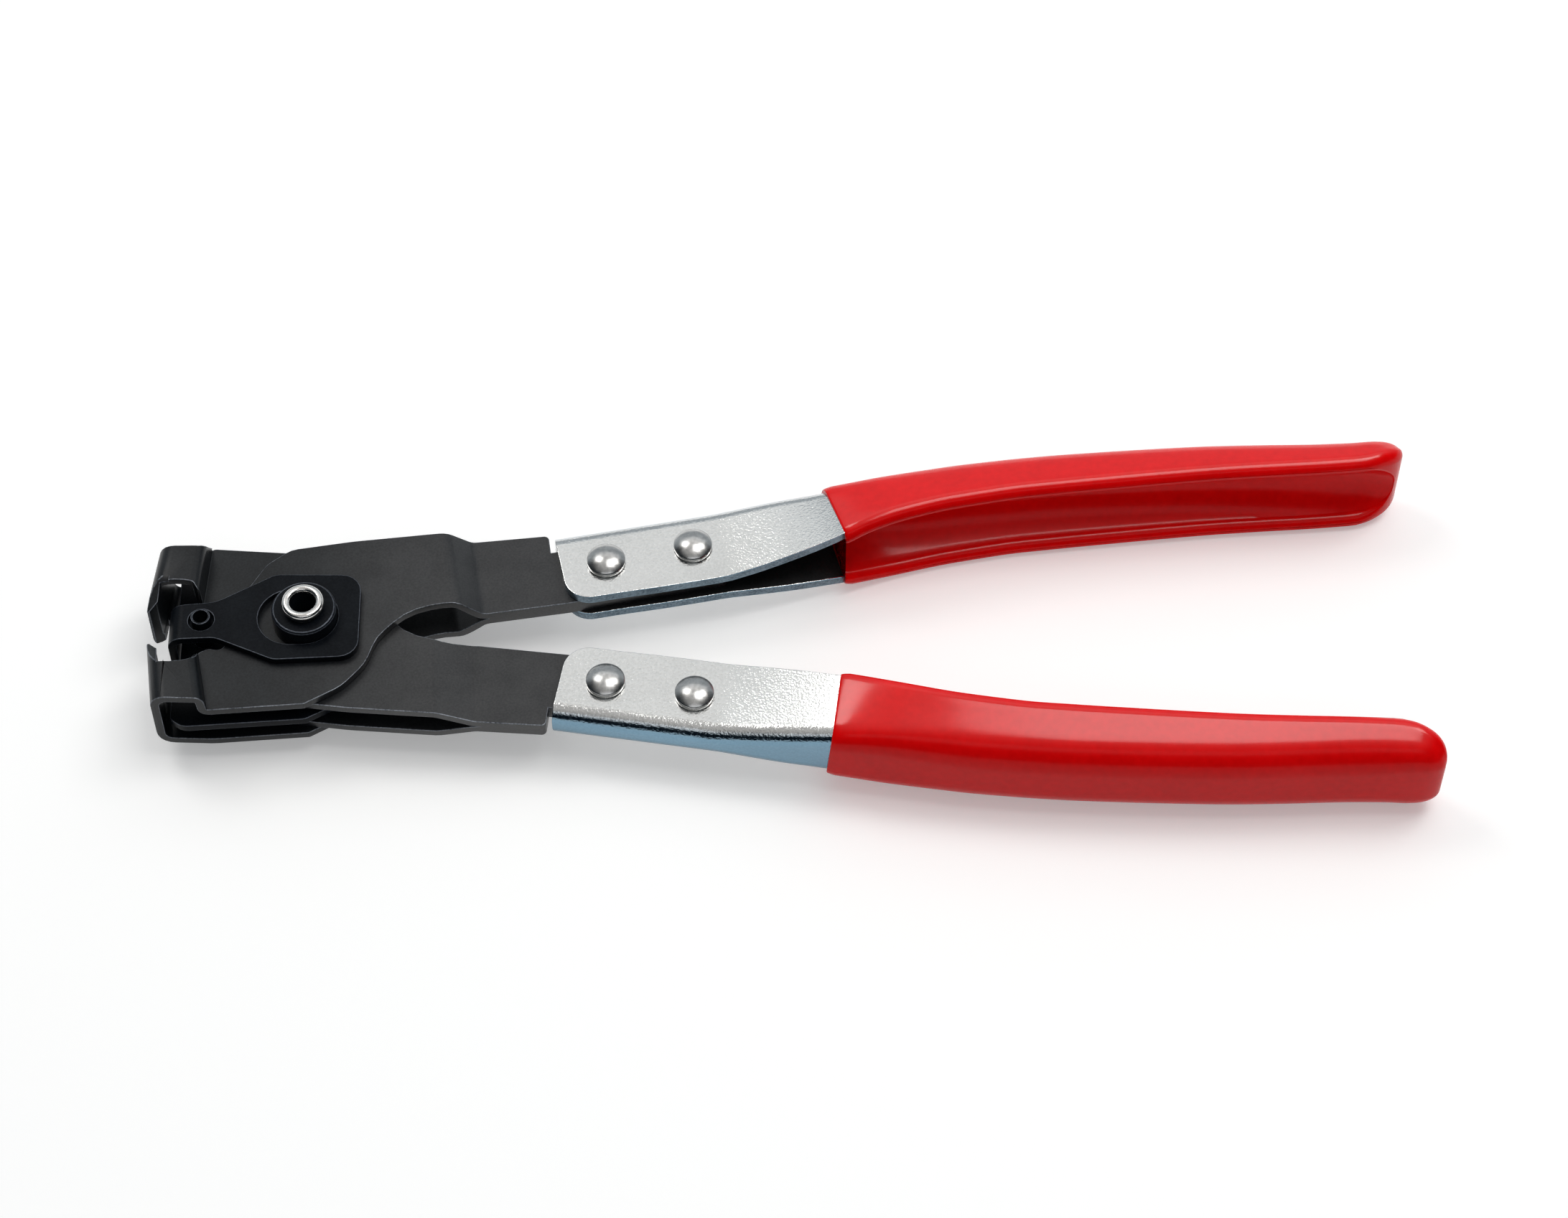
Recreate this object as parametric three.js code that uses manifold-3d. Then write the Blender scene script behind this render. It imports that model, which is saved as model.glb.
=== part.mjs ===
// Ear clamp pliers in millimetres: two folded jaws on a hollow pivot rivet, a sliding anvil between
// them, and two pressed steel handle channels in dipped vinyl grips. The pivot is at the origin while
// the pieces are made, with +X towards the handle ends and +Z up.
import * as THREE from 'three';
import Module from 'manifold-3d';
import { mergeVertices } from 'three/addons/utils/BufferGeometryUtils.js';

const wasm = await Module();
wasm.setup();

// Fineness of round stretches
const WELD_DISTANCE = 1e-4;
const ARC_STEP = Math.PI / 10;
const ROUND_SEGMENTS = 32;
const SMALL_SEGMENTS = 18;
const STRAIGHT = 1e-6;

// Pose of the tool, lie of each handle on its jaw and reach of its channel to both sides of that place
const HALF_OPENING = THREE.MathUtils.degToRad(7);
const HANDLE_LEAN = THREE.MathUtils.degToRad(3.9);
const HANDLE_X = 56.2;
const HANDLE_Y = 6.75;
const CHANNEL_FRONT = -8.4;
const CHANNEL_END = 146.8;

// Folded jaw sheet
const SHEET = 1.6;
const HALF_SHEET = SHEET / 2;
const OUTER_LEG = 4.7;
const INNER_LEG = 2.95;
const NOSE_TOP = 8.5;
const NOSE_BOTTOM = -4.7;
const WALL_BEND = 2.2;
const STEP_BEND = 1;
const ARM_BEND = 3;
const HEAD_SPLIT = 12;
const NOSE_SPLIT = -24.5;
const SPLIT_LAP = 3;
const TANG_JOINT = 0.9;
const SIDE_REACH = 22;

// Shoulder where a step drops from the nose to the wider leg: edge of the nose and of the leg, and how
// far off the trimming runs
const OUTER_SHOULDER = { nose: -7.8, leg: -4.1, clear: 0 };
const INNER_SHOULDER = { nose: -12.5, leg: -15.8, clear: -SIDE_REACH };
const SHOULDER_FROM = -23;
const SHOULDER_TO = -19;

// Plan of a jaw seen from above with the jaws shut, as x, y, corner radius: far side of arm and head,
// then the nose, then the near side that sweeps back to the arm
const FAR_PLAN = [
  [46.3, 11.9],
  [46.3, 15.9, 0.9],
  [32, 16.4, 24],
  [10, 17, 30],
  [-1.6, 16.7, 5],
  [-6.3, 13.9, 4],
  [-12.4, 5.8, 5],
  [-14, 0.4, 4],
];
const OUTER_NOSE_PLAN = [
  [-15.4, -4.6, 1.6],
  [-18, -3.5, 1.2],
  [-19.8, OUTER_SHOULDER.leg, 0.8],
  [-20.6, -5.4, 0.5],
  [-21.1, OUTER_SHOULDER.nose, 0.8],
  [-24, -8.1, 8],
  [-27.3, -7.5],
  [-27.3, -3.2],
  [-28.65, -1.3],
  [-31, -1.3],
  [-31, -11],
  [-29.7, -15.2, 2],
  [-19, -17.1, 12],
];
const INNER_NOSE_PLAN = [
  [-15.2, -3.4, 1.6],
  [-20.4, -3.1, 1],
  [-21.4, -4.3, 1],
  [-24, -4.5, 6],
  [-27.5, -3.8],
  [-27.5, -0.6],
  [-28.85, 1.25],
  [-31, 1.25],
  [-31, -8],
  [-29.9, -11.6, 1.8],
  [-21.6, INNER_SHOULDER.nose, 0.6],
  [-20.5, INNER_SHOULDER.leg, 1],
  [-5.6, -16.3, 6],
];
const NEAR_PLAN = [
  [-1.7, -18.2, 1],
  [5.3, -15.3, 8],
  [10, -10.9, 9],
  [12.5, -5.4, 9],
  [18.9, 0, 12],
  [26, 0.5, 8],
  [31, -0.4, 8],
];

// Inner stretch of the tang, in the frame of the handle channel
const TANG_PLAN = [
  [CHANNEL_FRONT, -6.3, 2],
  [22.4, -6.3, 2],
  [22.4, 5.3, 2],
];

// Mouth cut round the two bends of the nose, from the front: y past the grip edge, z
const MOUTH_TOP_CUT = [
  [0, 6.1],
  [5.3, 3.5],
  [5.3, 12],
  [-12, 12],
];
const MOUTH_BOTTOM_CUT = [
  [0, -4.5],
  [5.3, -0.8],
  [5.3, -9],
  [-10.2, -9],
];
const MOUTH_FROM = -32;
const MOUTH_TO = -26;
const OUTER_JAW = {
  side: 1,
  leg: OUTER_LEG,
  wall: -28.3,
  stepLow: -20.4,
  stepHigh: -20.7,
  stepSkew: -0.07,
  armHigh: 27.4,
  armLow: 32,
  skew: -0.04,
  nosePlan: OUTER_NOSE_PLAN,
  shoulder: OUTER_SHOULDER,
  gripEdge: -1.3,
};
const INNER_JAW = {
  side: -1,
  leg: INNER_LEG,
  wall: -28.5,
  stepLow: -21,
  stepHigh: -21.3,
  stepSkew: 0.054,
  armHigh: 24.9,
  armLow: 31.9,
  skew: 0.18,
  nosePlan: INNER_NOSE_PLAN,
  shoulder: INNER_SHOULDER,
  gripEdge: 1.25,
};
const SKEW_CENTRE = 8.6;
const STEP_SKEW_CENTRE = -10;

// Pivot stack
const RIVET_BORE = 2.25;
const RIVET_OUTER = 3.1;
const RIVET_ROLL = 0.85;
const ROLL_STEPS = 6;
const RIVET_ROLL_TOP = 11.35;
const RIVET_ROLL_BOTTOM = -7.55;
const RUNNING_GAP = 0.1;
const SLIDING_GAP = 0.15;
const HUB_RADIUS = 5.95;
const HUB_TOP = 9.9;
const HUB_EDGE = 0.35;
const LEG_TOP = OUTER_LEG + HALF_SHEET;
const WASHER_RADIUS = 6;
const WASHER_BOTTOM = -6.7;
const SPACER_RADIUS = 6;
const SPACER_OUT = INNER_LEG - HALF_SHEET;

// Anvil strap, centre plate and the hollow pin that ties them
const STRAP_Z = LEG_TOP + HALF_SHEET;
const STRAP_BEND = 2;
const STRAP_FRONT = -24.3;
const STRAP_FOOT = -5.3;
const STRAP_PLAN = [
  [-26, -4.6],
  [-16.3, -4.4, 4],
  [-5.4, -9.5, 3],
  [10, -9, 3.6],
  [10, 9.2, 3.8],
  [-5.9, 9.6, 3],
  [-16.6, 3.6, 6],
  [-26, 2.9],
];
const STRAP_REACH = 12;
const SLIDE_TRAVEL = 2.6;
const STRAP_SLOT = HUB_RADIUS + SLIDING_GAP;
const PLATE_SLOT = RIVET_OUTER + SLIDING_GAP;
const PLATE_PLAN = [
  [-24.3, -17.9, 1.4],
  [-22, -19.6, 3],
  [0.3, -18.4, 2],
  [6.6, -14.9, 5],
  [8.7, -11.2, 3],
  [8.7, 11.2, 3],
  [6.6, 14.9, 5],
  [0.3, 18.4, 2],
  [-22, 19.6, 3],
  [-24.3, 17.9, 1.4],
];
const PLATE_RECESS = { back: -23.3, low: -4.9, high: 3.2 };
const PIN_X = -19;
const PIN_Y = -0.4;
const PIN_OUTER = 1.8;
const PIN_BORE = 1.4;
const PIN_TOP = 8.25;
const PIN_HEAD = 2.4;
const PIN_FOOT = -1.4;
const PIN_FIT = 0.1;
const PIN_WINDOW = 2.4;

// Handle channel stations: x, web face y, open edge y, half height at the web, half height at the edge
const CHANNEL_TABLE = [
  [CHANNEL_FRONT, 8.6, -7.2, 3.62, 3.62],
  [0, 8.5, -7.3, 3.62, 3.62],
  [10, 8.35, -7.65, 3.62, 3.62],
  [20.5, 8.15, -7.8, 3.62, 3.62],
  [26, 7.95, -7.65, 4.1, 4.3],
  [33, 7.6, -7.2, 4.9, 5.6],
  [42, 6.9, -6.2, 5.7, 7.4],
  [48, 6.6, -5.2, 6.3, 8.85],
  [55, 6.5, -4.45, 6.75, 9.65],
  [65, 6.4, -3.95, 6.9, 9.9],
  [75, 5.8, -4.1, 6.9, 9.9],
  [85, 4.9, -4.85, 6.9, 9.9],
  [95, 3.65, -5.8, 6.9, 9.9],
  [105, 2.25, -6.8, 6.9, 9.9],
  [115, 0.7, -7.9, 6.9, 9.9],
  [125, -1.2, -9.25, 6.9, 9.9],
  [135, -3.25, -10.7, 6.9, 9.9],
  [CHANNEL_END, -5.45, -12.1, 6.9, 9.9],
];
const CHANNEL_WALL = 2;
const CHANNEL_BEND = 2;
const CHANNEL_INNER_BEND = 0.6;
const FRONT_CORNER = 4.7;
const END_CORNER = 3;
const CORNER_STEPS = 4;
const INNER_STEPS = 1;
const STATION_ROOM = 1;

// Vinyl grip
const VINYL = 1.1;
const VINYL_EDGE = 0.7;
const VINYL_EDGE_RUN = 1.6;
const GRIP_FRONT = 42.8;
const GRIP_SLANT = 0.115;
const GRIP_SLANT_RUN = 20;
const END_SKIN = 5.2;
const GRIP_END = CHANNEL_END + END_SKIN;
const GRIP_END_LENGTH = 7.5;
const GRIP_END_INSET = 3.7;
const LIP = (CHANNEL_WALL + VINYL * 2) / 2;
const LIP_INSIDE = LIP - 0.25;
const WEB_BEND = CHANNEL_BEND + VINYL;
const TROUGH_PAST = 0.8;
const TROUGH_END = CHANNEL_END + TROUGH_PAST;
const TROUGH_END_LENGTH = 6;
const TROUGH_END_INSET = 4.5;
const TROUGH_FLOOR_BEND = 3;
const TROUGH_MARGIN = 4;
const TROUGH_RISE_SHARE = 0.35;
const TROUGH_BEND_SHARE = 0.85;
const FULL_ROUND_SHARE = 0.44;
const CAVITY_GAP = 0.25;
const END_STEPS = 4;
const FRONT_SHARES = [0, 0.2, 0.5, 1];

// Handle rivets
const RIVET_SHAFT = 2;
const RIVET_HOLE = 2.15;
const RIVET_HEAD = 3.6;
const RIVET_RIM = 1;
const RIVET_DOME = 1.35;
const DOME_STEPS = 3;
const RIVET_PITCH = 16.45;
const CHANNEL_TOP = 3.62;
const TANG_REACH = HANDLE_X + RIVET_PITCH + RIVET_HEAD * 3;

// Closed mesh turned so that it faces out, as a solid for cutting and joining
function solidOf(geometry) {
  const plain = geometry.clone();
  plain.deleteAttribute('normal');
  plain.deleteAttribute('uv');
  const welded = mergeVertices(plain, WELD_DISTANCE);
  const places = welded.attributes.position;
  const corners = [];
  for (let at = 0; at < welded.index.count; at += 3) {
    const triangle = [0, 1, 2].map((step) => welded.index.getX(at + step));
    if (new Set(triangle).size === 3) corners.push(triangle);
  }
  const point = (index) => new THREE.Vector3().fromBufferAttribute(places, index);
  const volume = corners.reduce((sum, [a, b, c]) => sum + point(a).dot(point(b).cross(point(c))), 0);
  const turned = volume < 0 ? corners.map(([a, b, c]) => [a, c, b]) : corners;
  const mesh = { numProp: 3, vertProperties: places.array, triVerts: new Uint32Array(turned.flat()) };
  return new wasm.Manifold(new wasm.Mesh(mesh));
}

function geometryOf(solid) {
  const mesh = solid.getMesh();
  const geometry = new THREE.BufferGeometry();
  geometry.setAttribute('position', new THREE.Float32BufferAttribute(mesh.vertProperties, 3));
  geometry.setIndex(Array.from(mesh.triVerts));
  const flat = geometry.toNonIndexed();
  flat.computeVertexNormals();
  return flat;
}

// Corners of a chain given as x, y, radius, with each radius drawn as an arc
function heading(from, to) {
  return new THREE.Vector2(to[0] - from[0], to[1] - from[1]).normalize();
}

function rounded(corners, closed = true, arcSteps = 0) {
  const count = corners.length;
  return corners.flatMap((corner, index) => {
    const [x, y, radius = 0] = corner;
    const atEnd = !closed && (index === 0 || index === count - 1);
    if (radius === 0 || atEnd) return [[x, y]];
    const into = heading(corners[(index + count - 1) % count], corner);
    const out = heading(corner, corners[(index + 1) % count]);
    const turn = Math.atan2(into.cross(out), into.dot(out));
    if (Math.abs(turn) < STRAIGHT) return [[x, y]];
    const run = radius * Math.tan(Math.abs(turn) / 2);
    const hand = Math.sign(turn) * radius;
    const startX = x - into.x * run;
    const startY = y - into.y * run;
    const centre = new THREE.Vector2(startX - into.y * hand, startY + into.x * hand);
    const arm = new THREE.Vector2(startX, startY).sub(centre);
    const steps = arcSteps || Math.max(1, Math.ceil(Math.abs(turn) / ARC_STEP));
    return Array.from({ length: steps + 1 }, (_, step) => {
      const turned = arm.clone().rotateAround(new THREE.Vector2(), (turn * step) / steps);
      return [centre.x + turned.x, centre.y + turned.y];
    });
  });
}

// Chain moved sideways by a distance, with its bend radii kept concentric
function offsetChain(corners, distance) {
  const last = corners.length - 1;
  return corners.map((corner, index) => {
    const before = index === 0 ? null : heading(corners[index - 1], corner);
    const after = index === last ? null : heading(corner, corners[index + 1]);
    const into = before ?? after;
    const out = after ?? before;
    const share = distance / (1 + into.dot(out));
    const x = corner[0] - (into.y + out.y) * share;
    const y = corner[1] + (into.x + out.x) * share;
    const radius = (corner[2] ?? 0) - Math.sign(into.cross(out)) * distance;
    return corner[2] ? [x, y, Math.max(0, radius)] : [x, y];
  });
}

function ribbon(corners) {
  const left = rounded(offsetChain(corners, HALF_SHEET), false);
  const right = rounded(offsetChain(corners, -HALF_SHEET), false);
  return [...left, ...right.reverse()];
}

// Outline drawn as a plate: upwards, or along one of the two level directions
const ACROSS = new THREE.Matrix4().makeBasis(
  new THREE.Vector3(1, 0, 0), new THREE.Vector3(0, 0, 1), new THREE.Vector3(0, -1, 0));
const ALONG = new THREE.Matrix4().makeBasis(
  new THREE.Vector3(0, 1, 0), new THREE.Vector3(0, 0, 1), new THREE.Vector3(1, 0, 0));

function plate(points, low, high, placing = new THREE.Matrix4()) {
  const shape = new THREE.Shape(points.map(([x, y]) => new THREE.Vector2(x, y)));
  const geometry = new THREE.ExtrudeGeometry(shape, { depth: high - low, bevelEnabled: false });
  geometry.translate(0, 0, low);
  geometry.applyMatrix4(placing);
  return geometry;
}

function disc(x, y, radius, segments = SMALL_SEGMENTS) {
  return Array.from({ length: segments }, (_, step) => {
    const angle = (step / segments) * Math.PI * 2;
    return [x + Math.cos(angle) * radius, y + Math.sin(angle) * radius];
  });
}

// Slot with round ends, its rear centre on the pivot axis
function slot(radius, travel) {
  const half = ROUND_SEGMENTS / 2;
  return Array.from({ length: ROUND_SEGMENTS + 2 }, (_, step) => {
    const rear = step <= half;
    const angle = ((rear ? step : step - 1) / half) * Math.PI - Math.PI / 2;
    return [Math.cos(angle) * radius - (rear ? 0 : travel), Math.sin(angle) * radius];
  });
}

function turned(profile, segments = ROUND_SEGMENTS) {
  const points = profile.map(([radius, height]) => new THREE.Vector2(radius, height));
  const geometry = new THREE.LatheGeometry(points, segments);
  geometry.rotateX(Math.PI / 2);
  return geometry;
}

function arc(centreX, centreY, radius, from, to, steps) {
  return Array.from({ length: steps + 1 }, (_, step) => {
    const angle = from + ((to - from) * step) / steps;
    return [centreX + Math.cos(angle) * radius, centreY + Math.sin(angle) * radius];
  });
}

// Closed skin over rings of points that all have the same count
function loft(rings) {
  const count = rings[0].length;
  const places = rings.flat(2);
  const faces = [];
  for (let ring = 0; ring < rings.length - 1; ring += 1) {
    for (let step = 0; step < count; step += 1) {
      const next = (step + 1) % count;
      const a = ring * count + step;
      const b = ring * count + next;
      faces.push(a, b, b + count, a, b + count, a + count);
    }
  }
  const flatRing = (ring) => ring.map(([, y, z]) => new THREE.Vector2(y, z));
  const lastStart = (rings.length - 1) * count;
  THREE.ShapeUtils.triangulateShape(flatRing(rings[0]), []).forEach(([a, b, c]) => faces.push(a, c, b));
  THREE.ShapeUtils.triangulateShape(flatRing(rings.at(-1)), []).forEach(([a, b, c]) => {
    faces.push(lastStart + a, lastStart + b, lastStart + c);
  });
  const geometry = new THREE.BufferGeometry();
  geometry.setAttribute('position', new THREE.Float32BufferAttribute(places, 3));
  geometry.setIndex(faces);
  return geometry;
}

// Jaws: one strip folded round at the nose, its two legs stepped together into a double tang
function onSide(points, side) {
  return points.map(([x, y]) => [x, y * side]);
}

function ofHandle([x, y, radius]) {
  const place = new THREE.Vector2(x, y).rotateAround(new THREE.Vector2(), HANDLE_LEAN);
  return [HANDLE_X + place.x, HANDLE_Y + place.y, radius];
}

function sheet(jaw, outline, skew = 0, centre = 0) {
  const skewed = new THREE.Matrix4();
  skewed.elements[4] = skew * jaw.side;
  skewed.setPosition(-skew * centre, 0, 0);
  return solidOf(plate(outline, -SIDE_REACH, SIDE_REACH, ACROSS).applyMatrix4(skewed));
}

function headSheet(jaw, up) {
  const leg = jaw.leg * up;
  const nose = up > 0 ? NOSE_TOP : NOSE_BOTTOM;
  const fold = sheet(jaw, ribbon([
    [NOSE_SPLIT, nose],
    [jaw.wall, nose, WALL_BEND],
    [jaw.wall, 0],
  ]));
  const step = sheet(jaw, ribbon([
    [HEAD_SPLIT, leg],
    [jaw.stepLow, leg, STEP_BEND],
    [jaw.stepHigh, nose, STEP_BEND],
    [NOSE_SPLIT - HALF_SHEET, nose],
  ]), jaw.stepSkew, STEP_SKEW_CENTRE);
  return fold.add(step);
}

function armSheet(jaw, outline) {
  return sheet(jaw, outline, jaw.skew, SKEW_CENTRE);
}

function jawSheet(jaw) {
  const legs = [1, -1].map((up) => armSheet(jaw, ribbon([
    [HEAD_SPLIT - SPLIT_LAP, jaw.leg * up],
    [jaw.armHigh, jaw.leg * up, ARM_BEND],
    [jaw.armLow, HALF_SHEET * up, ARM_BEND],
    [TANG_REACH, HALF_SHEET * up],
  ])));
  const joint = armSheet(jaw, [
    [jaw.armLow + TANG_JOINT, -HALF_SHEET],
    [TANG_REACH, -HALF_SHEET],
    [TANG_REACH, HALF_SHEET],
    [jaw.armLow + TANG_JOINT, HALF_SHEET],
  ]);
  return legs[0].add(legs[1]).add(joint).add(headSheet(jaw, 1)).add(headSheet(jaw, -1));
}

// Trimming of the step, so that its edge slopes from the nose out to the wider leg
function shoulderCut(jaw) {
  const { nose, leg, clear } = jaw.shoulder;
  const legTop = jaw.leg + HALF_SHEET;
  const above = NOSE_TOP + SHEET;
  const corners = [[nose, NOSE_TOP + HALF_SHEET], [leg, legTop], [clear, legTop], [clear, above], [nose, above]];
  const edge = corners.map(([y, z]) => [y * jaw.side, z]);
  return solidOf(plate(edge, SHOULDER_FROM, SHOULDER_TO, ALONG));
}

function jawSolid(jaw) {
  const corners = [...FAR_PLAN, ...jaw.nosePlan, ...NEAR_PLAN, ...TANG_PLAN.map(ofHandle)];
  const plan = onSide(rounded(corners), jaw.side);
  const rivets = [0, RIVET_PITCH].map((x) => ofHandle([x, 0]));
  let solid = jawSheet(jaw).intersect(solidOf(plate(plan, NOSE_BOTTOM - SHEET, NOSE_TOP + SHEET)));
  for (const cut of [MOUTH_TOP_CUT, MOUTH_BOTTOM_CUT]) {
    const edge = cut.map(([y, z]) => [(y + jaw.gripEdge) * jaw.side, z]);
    solid = solid.subtract(solidOf(plate(edge, MOUTH_FROM, MOUTH_TO, ALONG)));
  }
  solid = solid.subtract(shoulderCut(jaw));
  const pivotHole = disc(0, 0, RIVET_OUTER + RUNNING_GAP, ROUND_SEGMENTS);
  const rivetHoles = rivets.map(([x, y]) => disc(x, y * jaw.side, RIVET_HOLE));
  for (const hole of [pivotHole, ...rivetHoles]) {
    solid = solid.subtract(solidOf(plate(hole, NOSE_BOTTOM - SHEET, NOSE_TOP + SHEET)));
  }
  return solid;
}

// Smooth reading of one column of the channel table, level wherever two stations agree
function steepness(from, to, column) {
  return (to[column] - from[column]) / (to[0] - from[0]);
}

function stationSlope(index, column) {
  const row = CHANNEL_TABLE[index];
  const before = index > 0 ? steepness(CHANNEL_TABLE[index - 1], row, column) : null;
  const after = index < CHANNEL_TABLE.length - 1 ? steepness(row, CHANNEL_TABLE[index + 1], column) : null;
  if (before === null || after === null) return before ?? after;
  return before * after > 0 ? (2 * before * after) / (before + after) : 0;
}

function reading(x, column) {
  const last = CHANNEL_TABLE.length - 1;
  const found = CHANNEL_TABLE.findIndex((row) => row[0] >= x - STRAIGHT);
  const high = Math.min(Math.max(found === -1 ? last : found, 1), last);
  const start = CHANNEL_TABLE[high - 1];
  const end = CHANNEL_TABLE[high];
  const span = end[0] - start[0];
  const at = (x - start[0]) / span;
  const square = at * at;
  const cube = square * at;
  const rise = cube - 2 * square + at;
  const fall = cube - square;
  return start[column] * (2 * cube - 3 * square + 1) + end[column] * (3 * square - 2 * cube)
    + (stationSlope(high - 1, column) * rise + stationSlope(high, column) * fall) * span;
}

function stations(from, to) {
  const inside = (x) => x > from + STATION_ROOM && x < to - STATION_ROOM;
  const between = CHANNEL_TABLE.map((row) => row[0]).filter(inside);
  return [from, ...between, to];
}

// Set-back of an edge inside a round corner that ends at a given x
function cornerSetBack(x, end, radius) {
  const inside = radius - Math.abs(end - x);
  return inside > 0 ? radius - Math.sqrt(Math.max(0, radius * radius - inside * inside)) : 0;
}

function channelRing(x, grow) {
  const web = reading(x, 1) + grow - cornerSetBack(x, CHANNEL_END, END_CORNER);
  const frontCut = cornerSetBack(x, CHANNEL_FRONT, FRONT_CORNER);
  const edge = reading(x, 2) - grow + frontCut + cornerSetBack(x, CHANNEL_END, END_CORNER);
  const webHalf = reading(x, 3) + grow;
  const edgeHalf = reading(x, 4) + grow;
  const wall = CHANNEL_WALL + grow * 2;
  const outer = rounded([
    [edge, -edgeHalf],
    [web, -webHalf, CHANNEL_BEND + grow],
    [web, webHalf, CHANNEL_BEND + grow],
    [edge, edgeHalf],
  ], true, CORNER_STEPS);
  const inner = rounded([
    [edge, edgeHalf - wall],
    [web - wall, webHalf - wall, CHANNEL_INNER_BEND],
    [web - wall, -webHalf + wall, CHANNEL_INNER_BEND],
    [edge, -edgeHalf + wall],
  ], true, INNER_STEPS);
  return [...outer, ...inner].map(([y, z]) => [x, y, z]);
}

// Ring for either side of the tool, always run the same way round
function mirrorRing(ring, side) {
  return side > 0 ? ring : ring.map(([x, y, z]) => [x, -y, z]).reverse();
}

function channelSolid(side, grow, front) {
  const arcShares = Array.from({ length: CORNER_STEPS + 1 }, (_, step) => step / CORNER_STEPS);
  const corner = (share) => 1 - Math.cos((share * Math.PI) / 2);
  const frontShares = front === CHANNEL_FRONT ? arcShares : [0];
  const frontRun = frontShares.map((share) => front + FRONT_CORNER * corner(share));
  const endRun = arcShares.map((share) => CHANNEL_END - END_CORNER * corner(1 - share));
  const middle = stations(frontRun.at(-1), endRun[0]).slice(1, -1);
  const places = [...frontRun, ...middle, ...endRun];
  const rings = places.map((x) => channelRing(x, grow));
  if (grow > 0) rings.push(channelRing(CHANNEL_END, grow).map(([x, y, z]) => [x + grow, y, z]));
  return solidOf(loft(rings.map((ring) => mirrorRing(ring, side))));
}

// Grip: the dipped skin outside, hollowed by the trough between its lips and by the steel inside it
function gripSkin(x) {
  const run = Math.min(1, (x - GRIP_FRONT) / VINYL_EDGE_RUN);
  return VINYL_EDGE + (VINYL - VINYL_EDGE) * Math.sqrt(Math.max(0, run));
}

function gripSlant(x, y) {
  const left = Math.max(0, 1 - (x - GRIP_FRONT) / GRIP_SLANT_RUN);
  return x + (reading(GRIP_FRONT, 1) - y) * GRIP_SLANT * left;
}

function gripRing(x, inset) {
  const skin = gripSkin(x) - inset;
  const at = Math.min(x, CHANNEL_END);
  const past = (x - at) * stationSlope(CHANNEL_TABLE.length - 1, 1);
  const web = reading(at, 1) + skin + past;
  const edge = reading(at, 2) - skin + past;
  const webHalf = reading(at, 3) + skin;
  const edgeHalf = reading(at, 4) + skin;
  const room = (web - edge) * FULL_ROUND_SHARE;
  const ring = rounded([
    [edge, -edgeHalf, Math.min(LIP, room)],
    [web, -webHalf, Math.min(WEB_BEND, room)],
    [web, webHalf, Math.min(WEB_BEND, room)],
    [edge, edgeHalf, Math.min(LIP, room)],
  ], true, CORNER_STEPS);
  return ring.map(([y, z]) => [gripSlant(x, y), y, z]);
}

function troughRing(x, inset) {
  const crest = reading(Math.min(x, CHANNEL_END), 2) - VINYL;
  const floor = reading(Math.min(x, CHANNEL_END), 1) - CHANNEL_WALL - VINYL - inset * TROUGH_RISE_SHARE;
  const half = reading(Math.min(x, CHANNEL_END), 4) + VINYL - LIP * 2 - inset;
  const floorHalf = reading(Math.min(x, CHANNEL_END), 3) - CHANNEL_WALL - VINYL - inset * TROUGH_RISE_SHARE;
  const bend = Math.min(TROUGH_FLOOR_BEND, floorHalf, floor - crest - LIP) * TROUGH_BEND_SHARE;
  const upper = [
    [crest - TROUGH_MARGIN, half + LIP_INSIDE],
    ...arc(crest + LIP_INSIDE, half + LIP_INSIDE, LIP_INSIDE, Math.PI, Math.PI * 1.5, CORNER_STEPS),
    ...arc(floor - bend, floorHalf - bend, bend, Math.PI / 2, 0, CORNER_STEPS),
  ];
  const lower = upper.map(([y, z]) => [y, -z]);
  return [...lower, ...upper.reverse()].map(([y, z]) => [x, y, z]);
}

function gripSolid(side) {
  const shares = Array.from({ length: END_STEPS + 1 }, (_, step) => step / END_STEPS);
  const endStart = GRIP_END - GRIP_END_LENGTH;
  const frontRun = FRONT_SHARES.map((share) => GRIP_FRONT + VINYL_EDGE_RUN * share);
  const body = [...frontRun, ...stations(frontRun.at(-1), endStart).slice(1)].map((x) => gripRing(x, 0));
  const end = shares.slice(1).map((share) => {
    const angle = (share * Math.PI) / 2;
    const inset = GRIP_END_INSET * (1 - Math.cos(angle));
    return gripRing(endStart + GRIP_END_LENGTH * Math.sin(angle), inset);
  });
  const troughStart = TROUGH_END - TROUGH_END_LENGTH;
  const troughBody = stations(GRIP_FRONT - TROUGH_MARGIN, troughStart).map((x) => troughRing(x, 0));
  const troughEnd = shares.slice(1).map((share) => {
    const angle = (share * Math.PI) / 2;
    const inset = TROUGH_END_INSET * (1 - Math.cos(angle));
    return troughRing(troughStart + TROUGH_END_LENGTH * Math.sin(angle), inset);
  });
  const skin = solidOf(loft([...body, ...end].map((ring) => mirrorRing(ring, side))));
  const trough = solidOf(loft([...troughBody, ...troughEnd].map((ring) => mirrorRing(ring, side))));
  return skin.subtract(trough).subtract(channelSolid(side, CAVITY_GAP, GRIP_FRONT - TROUGH_MARGIN));
}

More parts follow.
